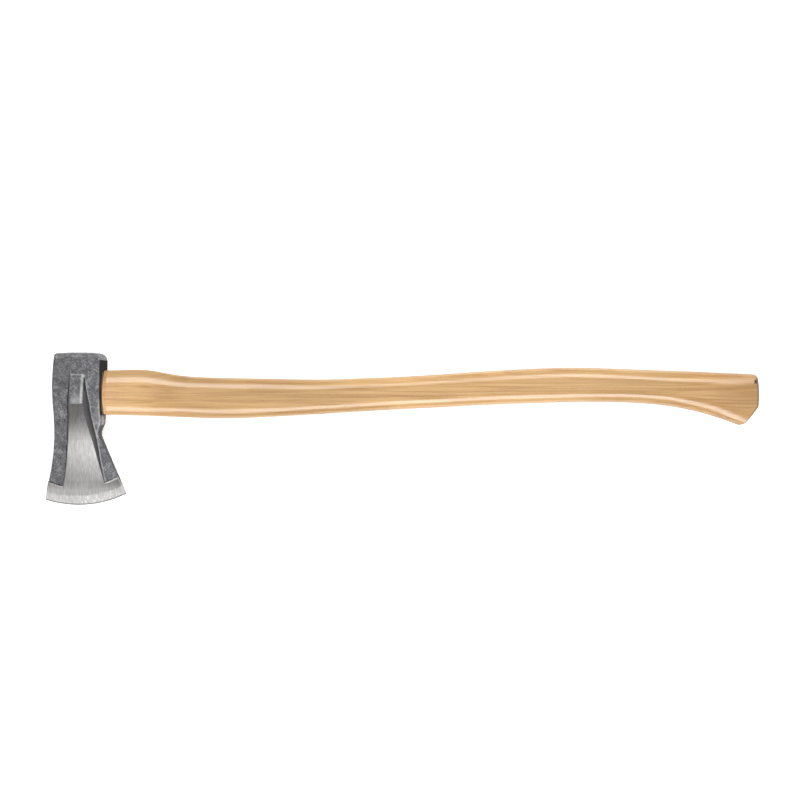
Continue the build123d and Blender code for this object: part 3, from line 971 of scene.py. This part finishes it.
def lacquer_share(m, along, x, y, lean):
    """How much clear coat is left: less on the knot, at the sides and where hands have dulled it."""
    coat = m.level(along, (0.0, 1.0), (0.33, 0.80), (0.50, 0.95), (0.68, 1.0), (0.86, 0.95), (1.0, 0.85))
    dull_back = m.level(along, (0.0, 0.22), (0.06, 0.0), (0.30, 0.0), (0.40, 0.35), (0.58, 0.35), (0.70, 0.0),
                        (0.84, 0.0), (0.92, 0.25))
    dull_belly = m.span(x, 120, 230, 0.22, 0.0)
    bare = m.highest(m.stored("knot"), m.span(lean, 0.55, 0.90, 0.0, 0.65),
                     m.times(dull_back, m.span(y, 0, 8)), m.times(dull_belly, m.span(y, -2, -10)))
    return m.times(coat, m.minus(1.0, bare))


def hickory(name, pale, dark, lacquered):
    """Wood with growth rings round a pith beside the piece, long pores and end grain."""
    m = Shader(name)
    x, y, z = m.axes()
    along = m.span(x, 0, END_KNEE[0])
    lean = m.stored("lean")
    rings = growth_rings(m, y, z)
    bands = m.noise((230, 5.5, 5.5), 2, 0.5, 0.0, 2.0)
    fibres = m.noise((55, 0.8, 0.8), 3, 0.6, 0.0, 3.0)
    pores = m.span(m.noise((8, 0.45, 0.45), 1, 0.5, 0.0, 4.0), 0.66, 0.76)
    pores = m.times(pores, m.span(rings, 0.0, 0.6, 0.3, 1.0))
    colour = m.mix(grain_tone(m, x, rings, bands, fibres), pale, dark)
    colour = marked(m, toned_with_painted_light(m, colour, along, y, lean), dark, bands, pores)
    m.set(Base_Color=cut_across(m, colour, dark, rings), Roughness=m.span(fibres, 0.2, 0.8, 0.44, 0.54),
          Specular_IOR_Level=0.2, Normal=m.bump(m.minus(m.times(fibres, 0.5), pores), 0.04))
    if lacquered:
        m.set(Coat_Weight=lacquer_share(m, along, x, y, lean), Coat_Roughness=0.17, Coat_IOR=1.65)
    return m.material


def wedge_steel():
    """Bare rolled steel with a little rust."""
    m = Shader("bare_wedge_steel")
    grain = m.noise((0.9, 0.9, 0.9), 3, 0.6, 0.0, 7.0)
    rust = m.span(m.noise((3, 3, 3), 3, 0.6, 0.5, 8.0), 0.55, 0.7)
    colour = m.mix(m.times(rust, 0.4), m.greys(grain, (0.3, 0.16), (0.7, 0.42)), (0.16, 0.075, 0.035))
    m.set(Base_Color=colour, Metallic=0.9, Roughness=m.span(grain, 0.2, 0.8, 0.35, 0.6),
          Normal=m.bump(grain, 0.12))
    return m.material


def dress(piece, material):
    """Gives the piece its material."""
    piece.data.materials.clear()
    piece.data.materials.append(material)


# ---------------------------------------------------------------- stage, light and camera

FLOOR_REACH = 6.0                 # metres
WORLD_LIGHT = 0.22
CAMERA_FROM_MOUTH = (374.8, -9.3, 1250.0)
VIEW_WIDTH = 1012.0               # width seen at the axe's middle plane
SENSOR = 36.0


def build_floor():
    """A plain sheet, leaning so little that the crest of one wing and the knob both rest on it."""
    mesh = bpy.data.meshes.new("floor")
    crest, knob = lay([(EDGE_CENTRE[0], 0, 0), (END_TOE[0], 0, 0)])[:, 0]
    rise = haft_box[0].z / (knob - crest)
    corners = [(x * FLOOR_REACH, y * FLOOR_REACH) for x, y in ((-1, -1), (1, -1), (1, 1), (-1, 1))]
    mesh.from_pydata([(x, y, (x - crest) * rise) for x, y in corners], [], [(0, 1, 2, 3)])
    floor = bpy.data.objects.new("floor", mesh)
    bpy.context.scene.collection.objects.link(floor)
    m = Shader("pale_floor")
    m.set(Base_Color=(0.9, 0.9, 0.9, 1), Roughness=0.9, Specular_IOR_Level=0.0,
          Emission_Color=(1, 1, 1, 1), Emission_Strength=0.55)
    mesh.materials.append(m.material)


def softbox(name, at, aim, size, power):
    light = bpy.data.lights.new(name, "AREA")
    light.shape, light.size, light.size_y, light.energy = "RECTANGLE", *size, power
    lamp = bpy.data.objects.new(name, light)
    lamp.location = at
    lamp.rotation_euler = (Vector(aim) - Vector(at)).to_track_quat("-Z", "Y").to_euler()
    bpy.context.scene.collection.objects.link(lamp)


def build_camera():
    camera = bpy.data.cameras.new("camera")
    camera.sensor_width = SENSOR
    camera.lens = SENSOR * CAMERA_FROM_MOUTH[2] / VIEW_WIDTH
    eye = bpy.data.objects.new("camera", camera)
    eye.location = lay([CAMERA_FROM_MOUTH])[0]
    bpy.context.scene.collection.objects.link(eye)
    bpy.context.scene.camera = eye


def build_light():
    """A long softbox on each side of the haft, a broad one overhead and a dim white world."""
    world = bpy.data.worlds.new("studio")
    world.use_nodes = True
    world.node_tree.nodes["Background"].inputs[0].default_value = (1, 1, 1, 1)
    world.node_tree.nodes["Background"].inputs[1].default_value = WORLD_LIGHT
    bpy.context.scene.world = world
    middle = (0.0, 0.03, 0.03)
    softbox("poll_side", (0.0, 1.03, 0.90), middle, (2.0, 0.40), 13)
    softbox("edge_side", (0.0, -1.04, 0.78), middle, (2.0, 0.38), 15)
    softbox("overhead", (0.0, 0.0, 2.2), middle, (2.6, 2.2), 12)


def build_looks():
    settings = bpy.context.scene.view_settings
    settings.view_transform, settings.look = "Standard", "None"


# ---------------------------------------------------------------- the axe

build_camera()
build_light()
build_looks()
build_floor()

head = build_head()
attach(head, "root")
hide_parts("axe_head")
dress(head, head_steel())

haft = build_haft()
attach(haft, "root")
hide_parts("haft")
dress(haft, hickory("lacquered_hickory", (0.78, 0.492, 0.218), (0.50, 0.267, 0.097), True))

wedge_wood = hickory("bare_wedge_wood", (0.62, 0.42, 0.22), (0.40, 0.24, 0.10), False)
steel = wedge_steel()
for name, material, slot in (("kerf_wedge", wedge_wood, "wedge_wood"),
                             ("steel_wedge_poll_side", steel, "wedge_steel"),
                             ("steel_wedge_bit_side", steel, "wedge_steel")):
    dress(nodes[name], material)
